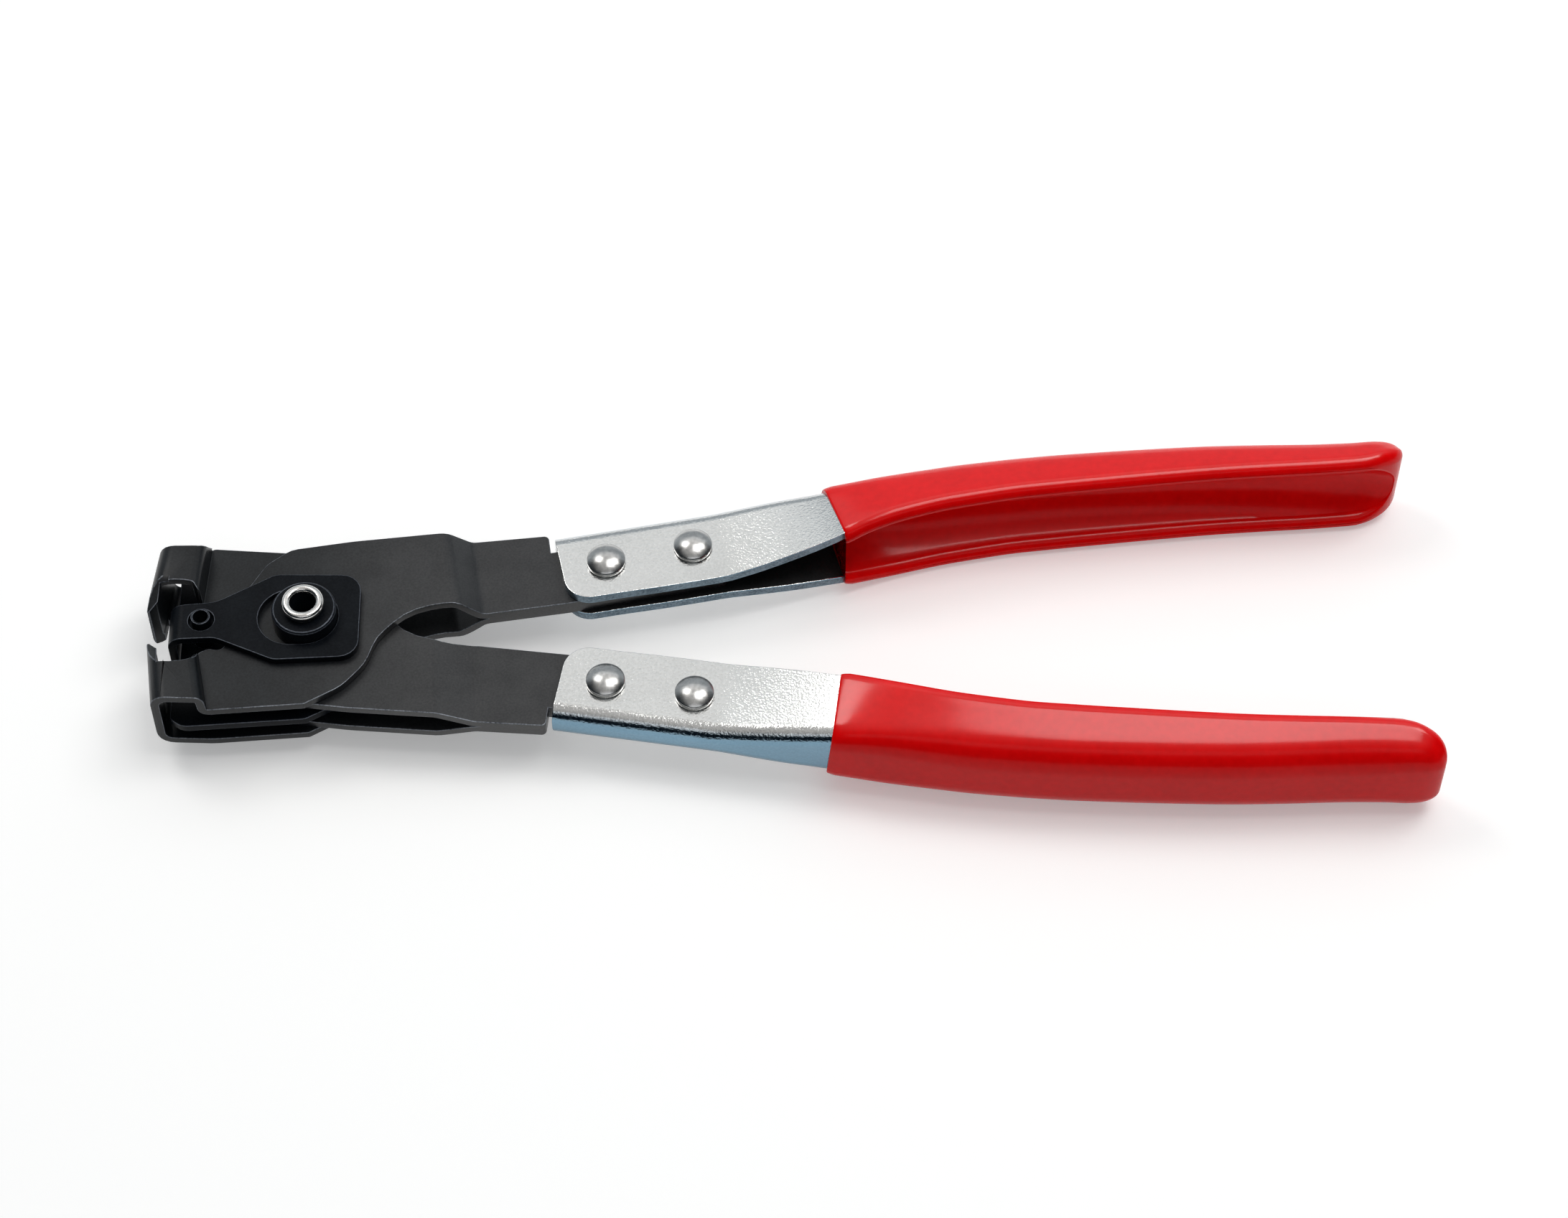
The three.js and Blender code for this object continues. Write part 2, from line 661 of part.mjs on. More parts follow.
// Round-headed handle rivet, the same dome at both ends
function handleRivet() {
  const sphere = (RIVET_HEAD * RIVET_HEAD + RIVET_DOME * RIVET_DOME) / (RIVET_DOME * 2);
  const spread = Math.asin(RIVET_HEAD / sphere);
  const top = CHANNEL_TOP + RIVET_RIM + RIVET_DOME;
  const dome = arc(0, top - sphere, sphere, Math.PI / 2, Math.PI / 2 - spread, DOME_STEPS);
  dome[0][0] = 0;
  const half = [...dome, [RIVET_HEAD, CHANNEL_TOP], [RIVET_SHAFT, CHANNEL_TOP]];
  const mirrored = half.map(([radius, height]) => [radius, -height]).reverse();
  return turned([...half, ...mirrored].reverse(), SMALL_SEGMENTS);
}

function ringOf(inner, outer, low, high) {
  return turned([[inner, low], [outer, low], [outer, high], [inner, high], [inner, low]]);
}

// Finishes
const FINISHES = {
  blackened: { color: 0x2c3034, roughness: 0.5, metalness: 0.55 },
  zinc: { color: 0xc4c8cb, roughness: 0.28, metalness: 0.9 },
  rivetSteel: { color: 0xb4b5b4, roughness: 0.35, metalness: 0.9 },
  brightSteel: { color: 0xd6d6d4, roughness: 0.25, metalness: 0.95 },
  redVinyl: { color: 0xc80d10, roughness: 0.3, metalness: 0 },
};

function piece(name, geometry, finish) {
  const mesh = new THREE.Mesh(geometry, new THREE.MeshStandardMaterial(FINISHES[finish]));
  mesh.name = name;
  return mesh;
}

// Each half of the tool: jaw, handle channel, rivets and grip, swung open by half the opening
function halfTool(name, jaw) {
  const swung = new THREE.Group();
  swung.rotation.z = HALF_OPENING * jaw.side;
  swung.add(piece(`${name}_jaw`, geometryOf(jawSolid(jaw)), 'blackened'));
  const handle = new THREE.Group();
  handle.position.set(HANDLE_X, HANDLE_Y * jaw.side, 0);
  handle.rotation.z = HANDLE_LEAN * jaw.side;
  let channel = channelSolid(jaw.side, 0, CHANNEL_FRONT);
  ['front', 'rear'].forEach((place, index) => {
    const x = RIVET_PITCH * index;
    channel = channel.subtract(solidOf(plate(disc(x, 0, RIVET_HOLE), -CHANNEL_TOP * 2, CHANNEL_TOP * 2)));
    const rivet = piece(`${name}_handle_rivet_${place}`, handleRivet(), 'rivetSteel');
    rivet.position.x = x;
    handle.add(rivet);
  });
  handle.add(piece(`${name}_handle_channel`, geometryOf(channel), 'zinc'));
  handle.add(piece(`${name}_grip`, geometryOf(gripSolid(jaw.side)), 'redVinyl'));
  swung.add(handle);
  return swung;
}

// Hollow pivot rivet rolled over at both ends, with its hub, washer and spacer rings
function pivotPieces() {
  const quarter = Math.PI / 2;
  const topRoll = arc(RIVET_OUTER, RIVET_ROLL_TOP, RIVET_ROLL, Math.PI, -quarter, ROLL_STEPS);
  const bottomRoll = arc(RIVET_OUTER, RIVET_ROLL_BOTTOM, RIVET_ROLL, quarter, -Math.PI, ROLL_STEPS);
  const rivet = turned([...topRoll, ...bottomRoll, topRoll[0]].reverse());
  const bore = RIVET_OUTER + RUNNING_GAP;
  const hub = turned([
    [bore, LEG_TOP],
    [HUB_RADIUS, LEG_TOP],
    [HUB_RADIUS, HUB_TOP - HUB_EDGE],
    [HUB_RADIUS - HUB_EDGE, HUB_TOP],
    [bore, HUB_TOP],
    [bore, LEG_TOP],
  ]);
  return [
    piece('pivot_rivet', rivet, 'brightSteel'),
    piece('pivot_hub', hub, 'blackened'),
    piece('pivot_washer', ringOf(bore, WASHER_RADIUS, WASHER_BOTTOM, -LEG_TOP), 'blackened'),
    piece('spacer_ring_upper', ringOf(bore, SPACER_RADIUS, HALF_SHEET, SPACER_OUT), 'blackened'),
    piece('spacer_ring_lower', ringOf(bore, SPACER_RADIUS, -SPACER_OUT, -HALF_SHEET), 'blackened'),
  ];
}

// Sliding anvil: strap with its front folded down into the mouth, centre plate and tie pin
function anvilPieces() {
  const path = ribbon([
    [STRAP_REACH, STRAP_Z],
    [STRAP_FRONT, STRAP_Z, STRAP_BEND],
    [STRAP_FRONT, STRAP_FOOT],
  ]);
  const above = STRAP_Z + SHEET;
  const below = STRAP_FOOT - SHEET;
  const strap = solidOf(plate(path, -SIDE_REACH, SIDE_REACH, ACROSS))
    .intersect(solidOf(plate(rounded(STRAP_PLAN), below, above)))
    .subtract(solidOf(plate(slot(STRAP_SLOT, SLIDE_TRAVEL), below, above)))
    .subtract(solidOf(plate(disc(PIN_X, PIN_Y, PIN_WINDOW), below, above)));
  const recess = [
    [STRAP_FRONT - SHEET, PLATE_RECESS.low],
    [PLATE_RECESS.back, PLATE_RECESS.low],
    [PLATE_RECESS.back, PLATE_RECESS.high],
    [STRAP_FRONT - SHEET, PLATE_RECESS.high],
  ];
  const centre = solidOf(plate(rounded(PLATE_PLAN), -HALF_SHEET, HALF_SHEET))
    .subtract(solidOf(plate(slot(PLATE_SLOT, SLIDE_TRAVEL), -SHEET, SHEET)))
    .subtract(solidOf(plate(recess, -SHEET, SHEET)))
    .subtract(solidOf(plate(disc(PIN_X, PIN_Y, PIN_OUTER + PIN_FIT), -SHEET, SHEET)));
  const pin = turned([
    [PIN_BORE, PIN_FOOT],
    [PIN_HEAD, PIN_FOOT],
    [PIN_HEAD, -HALF_SHEET],
    [PIN_OUTER, -HALF_SHEET],
    [PIN_OUTER, PIN_TOP],
    [PIN_BORE, PIN_TOP],
    [PIN_BORE, PIN_FOOT],
  ], SMALL_SEGMENTS);
  const pinPiece = piece('anvil_tie_pin', pin, 'blackened');
  pinPiece.position.set(PIN_X, PIN_Y, 0);
  return [
    piece('anvil_strap', geometryOf(strap), 'blackened'),
    piece('anvil_centre_plate', geometryOf(centre), 'blackened'),
    pinPiece,
  ];
}

const tool = new THREE.Group();
tool.add(halfTool('outer', OUTER_JAW), halfTool('inner', INNER_JAW), ...pivotPieces(), ...anvilPieces());

// Base centre of the whole tool on the origin
const pliers = new THREE.Group();
pliers.name = 'ear_clamp_pliers';
pliers.add(tool);
pliers.updateMatrixWorld(true);
const box = new THREE.Box3().setFromObject(pliers, true);
tool.position.set(-(box.min.x + box.max.x) / 2, -(box.min.y + box.max.y) / 2, -box.min.z);
pliers.updateMatrixWorld(true);

export default pliers;
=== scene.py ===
import math
import bmesh
import bpy
from mathutils import Matrix, Vector


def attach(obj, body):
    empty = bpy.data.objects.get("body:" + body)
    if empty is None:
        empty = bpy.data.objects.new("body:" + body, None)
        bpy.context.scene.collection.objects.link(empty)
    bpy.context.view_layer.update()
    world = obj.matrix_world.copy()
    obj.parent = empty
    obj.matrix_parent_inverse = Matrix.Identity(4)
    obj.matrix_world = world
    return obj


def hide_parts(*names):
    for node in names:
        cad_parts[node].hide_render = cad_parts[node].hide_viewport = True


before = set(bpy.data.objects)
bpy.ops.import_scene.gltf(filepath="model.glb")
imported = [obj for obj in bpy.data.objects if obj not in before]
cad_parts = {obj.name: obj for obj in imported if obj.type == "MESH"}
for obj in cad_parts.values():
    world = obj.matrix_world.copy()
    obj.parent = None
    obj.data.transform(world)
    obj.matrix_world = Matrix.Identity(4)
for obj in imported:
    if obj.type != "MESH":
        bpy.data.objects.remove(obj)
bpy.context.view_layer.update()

# Camera. The tool lies flat and is seen from 54.5 degrees above, square to its length, from 0.7 m with
# a long lens. The picture's level is turned 1.3 degrees from the line of the tool.
CAMERA_AIM = Vector((-0.00062, 0.0047, 0.01039))
CAMERA_PLACE = Vector((-0.00984, -0.4017, 0.58029))
CAMERA_RIGHT = Vector((0.99974, -0.02269, 0))
CAMERA_LENS = 86.54
CAMERA_SENSOR = 36

camera_data = bpy.data.cameras.new("camera")
camera_data.lens = CAMERA_LENS
camera_data.sensor_fit = "HORIZONTAL"
camera_data.sensor_width = CAMERA_SENSOR
camera = bpy.data.objects.new("camera", camera_data)
backward = (CAMERA_PLACE - CAMERA_AIM).normalized()
upward = backward.cross(CAMERA_RIGHT).normalized()
rightward = upward.cross(backward)
facing = Matrix((rightward, upward, backward)).transposed().to_4x4()
camera.matrix_world = Matrix.Translation(CAMERA_PLACE) @ facing
bpy.context.scene.collection.objects.link(camera)
bpy.context.scene.camera = camera

# Floor and light. A pale studio table under a soft overhead sky, bright behind and dark low in front.
# One long softbox lies behind and a narrow one in front, with three small ones high over the tool.
FLOOR_HALF = 3
FLOOR_COLOUR = (0.85, 0.86, 0.865, 1)
FLOOR_LIFT = 0.3
SKY_HIGH = (1, 0.985, 0.965, 1)
SKY_BACK = (0.8, 0.87, 0.92, 1)
SKY_FRONT = (0.01, 0.02, 0.03, 1)
SKY_STRENGTH = 0.5
SKY_BACK_FROM = 0.15
SKY_BACK_FULL = 0.65
SKY_HIGH_FROM = 0.6
SKY_HIGH_FULL = 0.96
SOFTBOX_DISTANCE = 0.9
SOFTBOXES = [
    ("softbox_back", (0, 0.6, 0.8), 1.5, 0.46, 0.44, (1, 0.98, 0.96)),
    ("softbox_left", (-0.46, 0.34, 0.82), 0.26, 0.34, 5, (1, 0.975, 0.945)),
    ("softbox_right", (0.5, 0.2, 0.84), 0.3, 0.3, 4.4, (1, 0.975, 0.945)),
    ("softbox_top", (0.24, 0.02, 0.97), 0.42, 0.4, 3.6, (1, 0.985, 0.97)),
    ("softbox_front", (0.04, -0.7, 0.71), 0.8, 0.2, 1.0, (0.96, 0.98, 1)),
]

floor_mesh = bpy.data.meshes.new("floor")
corners = [(-1, -1), (1, -1), (1, 1), (-1, 1)]
floor_mesh.from_pydata([(x * FLOOR_HALF, y * FLOOR_HALF, 0) for x, y in corners], [], [(0, 1, 2, 3)])
floor = bpy.data.objects.new("floor", floor_mesh)
bpy.context.scene.collection.objects.link(floor)


def node_link(tree, source, output, target, socket):
    tree.links.new(source.outputs[output], target.inputs[socket])


def any_ray(tree, *kinds):
    path = tree.nodes.new("ShaderNodeLightPath")
    seen = path.outputs[kinds[0]]
    for kind in kinds[1:]:
        either = tree.nodes.new("ShaderNodeMath")
        either.operation = "MAXIMUM"
        tree.links.new(seen, either.inputs[0])
        tree.links.new(path.outputs[kind], either.inputs[1])
        seen = either.outputs["Value"]
    return seen


def eased(tree):
    amount = tree.nodes.new("ShaderNodeMapRange")
    amount.interpolation_type = "SMOOTHSTEP"
    return amount


def colour_mix(tree):
    mix = tree.nodes.new("ShaderNodeMix")
    mix.data_type = "RGBA"
    return mix


floor_material = bpy.data.materials.new("floor")
floor_material.use_nodes = True
floor_tree = floor_material.node_tree
floor_shader = floor_tree.nodes["Principled BSDF"]
floor_shader.inputs["Base Color"].default_value = FLOOR_COLOUR
floor_shader.inputs["Roughness"].default_value = 1
floor_shader.inputs["Specular IOR Level"].default_value = 0
floor_shader.inputs["Emission Color"].default_value = (1, 1, 1, 1)
lift = floor_tree.nodes.new("ShaderNodeMath")
lift.operation = "MULTIPLY"
lift.inputs[1].default_value = FLOOR_LIFT
looked_at = any_ray(floor_tree, "Is Camera Ray", "Is Glossy Ray", "Is Transmission Ray")
floor_tree.links.new(looked_at, lift.inputs[0])
node_link(floor_tree, lift, "Value", floor_shader, "Emission Strength")
floor_mesh.materials.append(floor_material)

world = bpy.data.worlds.new("studio")
world.use_nodes = True
world_tree = world.node_tree
sky = world_tree.nodes["Background"]
sky.inputs["Strength"].default_value = SKY_STRENGTH
heading = world_tree.nodes.new("ShaderNodeTexCoord")
axes = world_tree.nodes.new("ShaderNodeSeparateXYZ")
node_link(world_tree, heading, "Generated", axes, "Vector")
behind = eased(world_tree)
behind.inputs["From Min"].default_value = SKY_BACK_FROM
behind.inputs["From Max"].default_value = SKY_BACK_FULL
node_link(world_tree, axes, "Y", behind, "Value")
horizon = colour_mix(world_tree)
horizon.inputs["A"].default_value = SKY_FRONT
horizon.inputs["B"].default_value = SKY_BACK
node_link(world_tree, behind, "Result", horizon, "Factor")
overhead = eased(world_tree)
overhead.inputs["From Min"].default_value = SKY_HIGH_FROM
overhead.inputs["From Max"].default_value = SKY_HIGH_FULL
node_link(world_tree, axes, "Z", overhead, "Value")
dome = colour_mix(world_tree)
dome.inputs["B"].default_value = SKY_HIGH
node_link(world_tree, horizon, "Result", dome, "A")
node_link(world_tree, overhead, "Result", dome, "Factor")
node_link(world_tree, dome, "Result", sky, "Color")
bpy.context.scene.world = world
for name, direction, width, height, radiance, colour in SOFTBOXES:
    data = bpy.data.lights.new(name, "AREA")
    data.shape = "RECTANGLE"
    data.size = width
    data.size_y = height
    data.energy = radiance * math.pi * width * height
    data.color = colour
    light = bpy.data.objects.new(name, data)
    toward = Vector(direction).normalized()
    light.location = toward * SOFTBOX_DISTANCE
    light.rotation_euler = (-toward).to_track_quat("-Z", "Y").to_euler()
    bpy.context.scene.collection.objects.link(light)
bpy.context.scene.view_settings.view_transform = "Standard"

# Jaws. Each is one strip of 1.6 mm steel folded round at the nose and riveted to itself through the
# handle, then blackened. The cut edges are rubbed bright.
NODE_EDGE = 0.00014
WELD = 2e-6
EDGE_ANGLE = math.radians(32)
EDGE_STEPS = 2
EDGE_FINISH = 1
FLAT_ANGLE = math.radians(0.4)
GRAIN_DETAIL = 3
PATCH_DETAIL = 4
PATCH_SHARE = 0.45
TONE_FROM = 0.36
TONE_TO = 0.64
BLACK_DARK = (0.007, 0.008, 0.010, 1)
BLACK_LIGHT = (0.026, 0.027, 0.029, 1)
BLACK_SPECULAR = 0.2
OIL_ROUGH = 0.34
ARM_OIL = 0.62
HEAD_OIL = 0.14
BLACK_GRAIN = 2600
BLACK_PATCH = 160
BLACK_ROUGH = (0.26, 0.42)
BLACK_BUMP = 0.35
BLACK_BUMP_DEPTH = 0.00003
# Painted shade: towards the head, from HEAD_START to HEAD_FULL along the tool, the jaws' black is multiplied
# darker and bluer, for the darker reflection the head shows.
HEAD_PAINTED_SHADE = (0.42, 0.5, 0.56, 1)
HEAD_START = 0.062
HEAD_FULL = 0.098
WORN_DARK = (0.03, 0.035, 0.045, 1)
WORN_LIGHT = (0.22, 0.24, 0.27, 1)
WORN_ROUGH = (0.3, 0.5)
WORN_METAL = 0.6


def shader_group(name, colours_in, numbers_in, colours_out, numbers_out):
    tree = bpy.data.node_groups.new(name, "ShaderNodeTree")
    for names, way, kind in ((colours_in, "INPUT", "Color"), (numbers_in, "INPUT", "Float"),
                             (colours_out, "OUTPUT", "Color"), (numbers_out, "OUTPUT", "Float")):
        for socket in names:
            tree.interface.new_socket(socket, in_out=way, socket_type=f"NodeSocket{kind}")
    return tree, tree.nodes.new("NodeGroupInput"), tree.nodes.new("NodeGroupOutput")


def grain_tree():
    tree, given, result = shader_group(
        "grain", ("Dark", "Light"), ("Grain", "Patch", "Smoothest", "Roughest"),
        ("Colour",), ("Roughness", "Height"))
    place = tree.nodes.new("ShaderNodeTexCoord")
    fine = tree.nodes.new("ShaderNodeTexNoise")
    fine.inputs["Detail"].default_value = GRAIN_DETAIL
    broad = tree.nodes.new("ShaderNodeTexNoise")
    broad.inputs["Detail"].default_value = PATCH_DETAIL
    for noise, size in ((fine, "Grain"), (broad, "Patch")):
        node_link(tree, place, "Object", noise, "Vector")
        node_link(tree, given, size, noise, "Scale")
    blend = tree.nodes.new("ShaderNodeMix")
    blend.inputs["Factor"].default_value = PATCH_SHARE
    node_link(tree, fine, "Fac", blend, "A")
    node_link(tree, broad, "Fac", blend, "B")
    contrast = tree.nodes.new("ShaderNodeMapRange")
    contrast.inputs["From Min"].default_value = TONE_FROM
    contrast.inputs["From Max"].default_value = TONE_TO
    node_link(tree, blend, "Result", contrast, "Value")
    tone = colour_mix(tree)
    node_link(tree, contrast, "Result", tone, "Factor")
    node_link(tree, given, "Dark", tone, "A")
    node_link(tree, given, "Light", tone, "B")
    gloss = tree.nodes.new("ShaderNodeMapRange")
    node_link(tree, blend, "Result", gloss, "Value")
    node_link(tree, given, "Smoothest", gloss, "To Min")
    node_link(tree, given, "Roughest", gloss, "To Max")
    node_link(tree, tone, "Result", result, "Colour")
    node_link(tree, gloss, "Result", result, "Roughness")
    node_link(tree, fine, "Fac", result, "Height")
    return tree


# Painted shade: multiplies a colour by a darker shade colour as a reading passes from None to Full.
def shade_tree():
    tree, given, result = shader_group(
        "shade", ("Colour", "Shade"), ("Reading", "None", "Full"), ("Colour",), ())
    amount = eased(tree)
    for name, socket in (("Reading", "Value"), ("None", "From Min"), ("Full", "From Max")):
        node_link(tree, given, name, amount, socket)
    toned = colour_mix(tree)
    toned.blend_type = "MULTIPLY"
    node_link(tree, amount, "Result", toned, "Factor")
    node_link(tree, given, "Colour", toned, "A")
    node_link(tree, given, "Shade", toned, "B")
    node_link(tree, toned, "Result", result, "Colour")
    return tree


def weight_tree():
    tree, given, result = shader_group(
        "weight", (), ("Reading", "None", "Full", "Least", "Most"), (), ("Weight",))
    amount = eased(tree)
    for name, socket in (("Reading", "Value"), ("None", "From Min"), ("Full", "From Max"),
                         ("Least", "To Min"), ("Most", "To Max")):
        node_link(tree, given, name, amount, socket)
    node_link(tree, amount, "Result", result, "Weight")
    return tree


grain_group = grain_tree()
shade_group = shade_tree()
weight_group = weight_tree()


def grained(name, dark, light, grain, patch, rough, bump, depth):
    material = bpy.data.materials.new(name)
    material.use_nodes = True
    tree = material.node_tree
    shader = tree.nodes["Principled BSDF"]
    surface = tree.nodes.new("ShaderNodeGroup")
    surface.node_tree = grain_group
    for socket, value in (("Dark", dark), ("Light", light), ("Grain", grain), ("Patch", patch),
                          ("Smoothest", rough[0]), ("Roughest", rough[1])):
        surface.inputs[socket].default_value = value
    relief = tree.nodes.new("ShaderNodeBump")
    relief.inputs["Strength"].default_value = bump
    relief.inputs["Distance"].default_value = depth
    node_link(tree, surface, "Colour", shader, "Base Color")
    node_link(tree, surface, "Roughness", shader, "Roughness")
    node_link(tree, surface, "Height", relief, "Height")
    node_link(tree, relief, "Normal", shader, "Normal")
    return material, shader


def size_of(tree, kind, axis):
    place = tree.nodes.new("ShaderNodeTexCoord")
    axes = tree.nodes.new("ShaderNodeSeparateXYZ")
    size = tree.nodes.new("ShaderNodeMath")
    size.operation = "ABSOLUTE"
    node_link(tree, place, kind, axes, "Vector")
    tree.links.new(axes.outputs[axis], size.inputs[0])
    return size.outputs["Value"]


# Puts painted shade on a material's base colour, read from one axis of its coordinates or normals.
def shaded(material, shader, shade, kind, axis, none, full):
    tree = material.node_tree
    colour = shader.inputs["Base Color"].links[0].from_socket
    toned = tree.nodes.new("ShaderNodeGroup")
    toned.node_tree = shade_group
    for socket, value in (("Shade", shade), ("None", none), ("Full", full)):
        toned.inputs[socket].default_value = value
    tree.links.new(size_of(tree, kind, axis), toned.inputs["Reading"])
    tree.links.new(colour, toned.inputs["Colour"])
    node_link(tree, toned, "Colour", shader, "Base Color")


def coated(material, shader, kind, axis, none, full, least, most):
    tree = material.node_tree
    layer = tree.nodes.new("ShaderNodeGroup")
    layer.node_tree = weight_group
    for socket, value in (("None", none), ("Full", full), ("Least", least), ("Most", most)):
        layer.inputs[socket].default_value = value
    tree.links.new(size_of(tree, kind, axis), layer.inputs["Reading"])
    node_link(tree, layer, "Weight", shader, "Coat Weight")


blackened, blackened_shader = grained(
    "blackened_steel", BLACK_DARK, BLACK_LIGHT, BLACK_GRAIN, BLACK_PATCH, BLACK_ROUGH,
    BLACK_BUMP, BLACK_BUMP_DEPTH)
blackened_shader.inputs["Specular IOR Level"].default_value = BLACK_SPECULAR
blackened_shader.inputs["Coat Roughness"].default_value = OIL_ROUGH
# Painted shade: the jaws darken and turn bluer towards the head.
shaded(blackened, blackened_shader, HEAD_PAINTED_SHADE, "Object", "X", HEAD_START, HEAD_FULL)
coated(blackened, blackened_shader, "Object", "X", HEAD_START, HEAD_FULL, ARM_OIL, HEAD_OIL)
worn, worn_shader = grained(
    "rubbed_edge", WORN_DARK, WORN_LIGHT, BLACK_GRAIN, BLACK_PATCH, WORN_ROUGH,
    BLACK_BUMP, BLACK_BUMP_DEPTH)
worn_shader.inputs["Metallic"].default_value = WORN_METAL


def smooth_tree(angle):
    tree = bpy.data.node_groups.new("smooth_by_angle", "GeometryNodeTree")
    tree.interface.new_socket("Geometry", in_out="INPUT", socket_type="NodeSocketGeometry")
    tree.interface.new_socket("Geometry", in_out="OUTPUT", socket_type="NodeSocketGeometry")
    start = tree.nodes.new("NodeGroupInput")
    end = tree.nodes.new("NodeGroupOutput")
    faces = tree.nodes.new("GeometryNodeSetShadeSmooth")
    edges = tree.nodes.new("GeometryNodeSetShadeSmooth")
    edges.domain = "EDGE"
    fold = tree.nodes.new("GeometryNodeInputMeshEdgeAngle")
    gentle = tree.nodes.new("FunctionNodeCompare")
    gentle.operation = "LESS_THAN"
    gentle.inputs["B"].default_value = angle
    node_link(tree, start, "Geometry", faces, "Geometry")
    node_link(tree, faces, "Geometry", edges, "Geometry")
    node_link(tree, fold, "Unsigned Angle", gentle, "A")
    node_link(tree, gentle, "Result", edges, "Shade Smooth")
    node_link(tree, edges, "Geometry", end, "Geometry")
    return tree


smoothing = smooth_tree(EDGE_ANGLE)


def smooth_over(piece):
    smooth = piece.modifiers.new("smooth", "NODES")
    smooth.node_group = smoothing


def soften(piece, width):
    weld = piece.modifiers.new("weld", "WELD")
    weld.merge_threshold = WELD
    flat = piece.modifiers.new("flat", "DECIMATE")
    flat.decimate_type = "DISSOLVE"
    flat.angle_limit = FLAT_ANGLE
    edge = piece.modifiers.new("edge", "BEVEL")
    edge.width = width
    edge.segments = EDGE_STEPS
    edge.limit_method = "ANGLE"
    edge.angle_limit = EDGE_ANGLE
    edge.material = EDGE_FINISH
    edge.use_clamp_overlap = False
    smooth_over(piece)
    even = piece.modifiers.new("even", "WEIGHTED_NORMAL")
    even.keep_sharp = True


def dress(node, width, *materials):
    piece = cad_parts[node]
    piece.data.materials.clear()
    for material in materials:
        piece.data.materials.append(material)
    soften(piece, width)


for node in ("outer_jaw", "inner_jaw"):
    dress(node, NODE_EDGE, blackened, worn)

# Anvil and pivot. Pressings and turned rings in a deeper black than the jaws, slid and turned on the
# hollow rivet, with only their rims rubbed. The deeper black is partly their own finish and partly
# painted shade, for the darker reflection at this end of the tool.
DEEP_SHADED_DARK = (0.002, 0.003, 0.005, 1)
DEEP_SHADED_LIGHT = (0.007, 0.009, 0.012, 1)
DEEP_SPECULAR = 0.07
RIM_DARK = (0.02, 0.025, 0.035, 1)
RIM_LIGHT = (0.1, 0.115, 0.14, 1)
RIM_ROUGH = (0.35, 0.5)
RIM_METAL = 0.5
deep_shaded, deep_shaded_shader = grained(
    "deep_black_steel_painted_shade", DEEP_SHADED_DARK, DEEP_SHADED_LIGHT, BLACK_GRAIN, BLACK_PATCH, BLACK_ROUGH,
    BLACK_BUMP, BLACK_BUMP_DEPTH)
deep_shaded_shader.inputs["Specular IOR Level"].default_value = DEEP_SPECULAR
rim, rim_shader = grained(
    "rubbed_rim", RIM_DARK, RIM_LIGHT, BLACK_GRAIN, BLACK_PATCH, RIM_ROUGH,
    BLACK_BUMP, BLACK_BUMP_DEPTH)
rim_shader.inputs["Metallic"].default_value = RIM_METAL
for node in ("anvil_strap", "anvil_centre_plate", "anvil_tie_pin", "pivot_hub", "pivot_washer",
             "spacer_ring_upper", "spacer_ring_lower"):
    dress(node, NODE_EDGE, deep_shaded, rim)

# Pivot rivet. A hollow rivet of bright nickel plated steel, set through the head and rolled over at both
# ends, above the hub and below the washer. It is turned finer here than in the solids.
MILLIMETRE = 0.001
QUARTER_TURN = math.pi / 2
PIVOT = Vector((-0.08848, 0, 0.01039))
TUBE_OUTER = 3.1
TUBE_ROLL = 0.83
ROLL_TOP = 11.35
ROLL_BOTTOM = -7.55
ROLL_STEPS = 14
BORE_SHARE = 0.9
TURN_SEGMENTS = 64
SEAM = WELD / 10
NICKEL_DARK = (0.62, 0.61, 0.59, 1)
NICKEL_LIGHT = (0.84, 0.83, 0.81, 1)
NICKEL_GRAIN = 900
NICKEL_PATCH = 300
NICKEL_ROUGH = (0.14, 0.24)
NICKEL_BUMP = 0.12
NICKEL_BUMP_DEPTH = 0.00002


def arc(radius, height, bend, start, end, steps):
    return [(radius + bend * math.cos(start + (end - start) * step / steps),
             height + bend * math.sin(start + (end - start) * step / steps)) for step in range(steps + 1)]


def finished(name, mesh, placing):
    bmesh.ops.remove_doubles(mesh, verts=mesh.verts, dist=SEAM)
    bmesh.ops.recalc_face_normals(mesh, faces=mesh.faces)
    mesh.transform(placing)
    data = bpy.data.meshes.new(name)
    mesh.to_mesh(data)
    mesh.free()
    piece = bpy.data.objects.new(name, data)
    bpy.context.scene.collection.objects.link(piece)
    return piece


def lathe(name, profile, placing, closed):
    mesh = bmesh.new()
    rows = []
    for step in range(TURN_SEGMENTS):
        angle = 2 * math.pi * step / TURN_SEGMENTS
        rows.append([mesh.verts.new((radius * math.cos(angle) * MILLIMETRE,
                                     radius * math.sin(angle) * MILLIMETRE,
                                     height * MILLIMETRE)) for radius, height in profile])
    pairs = list(zip(range(len(profile)), range(1, len(profile))))
    if closed:
        pairs.append((len(profile) - 1, 0))
    for step, row in enumerate(rows):
        following = rows[(step + 1) % TURN_SEGMENTS]
        for low, high in pairs:
            mesh.faces.new((row[low], following[low], following[high], row[high]))
    piece = finished(name, mesh, placing)
    smooth_over(piece)
    return piece


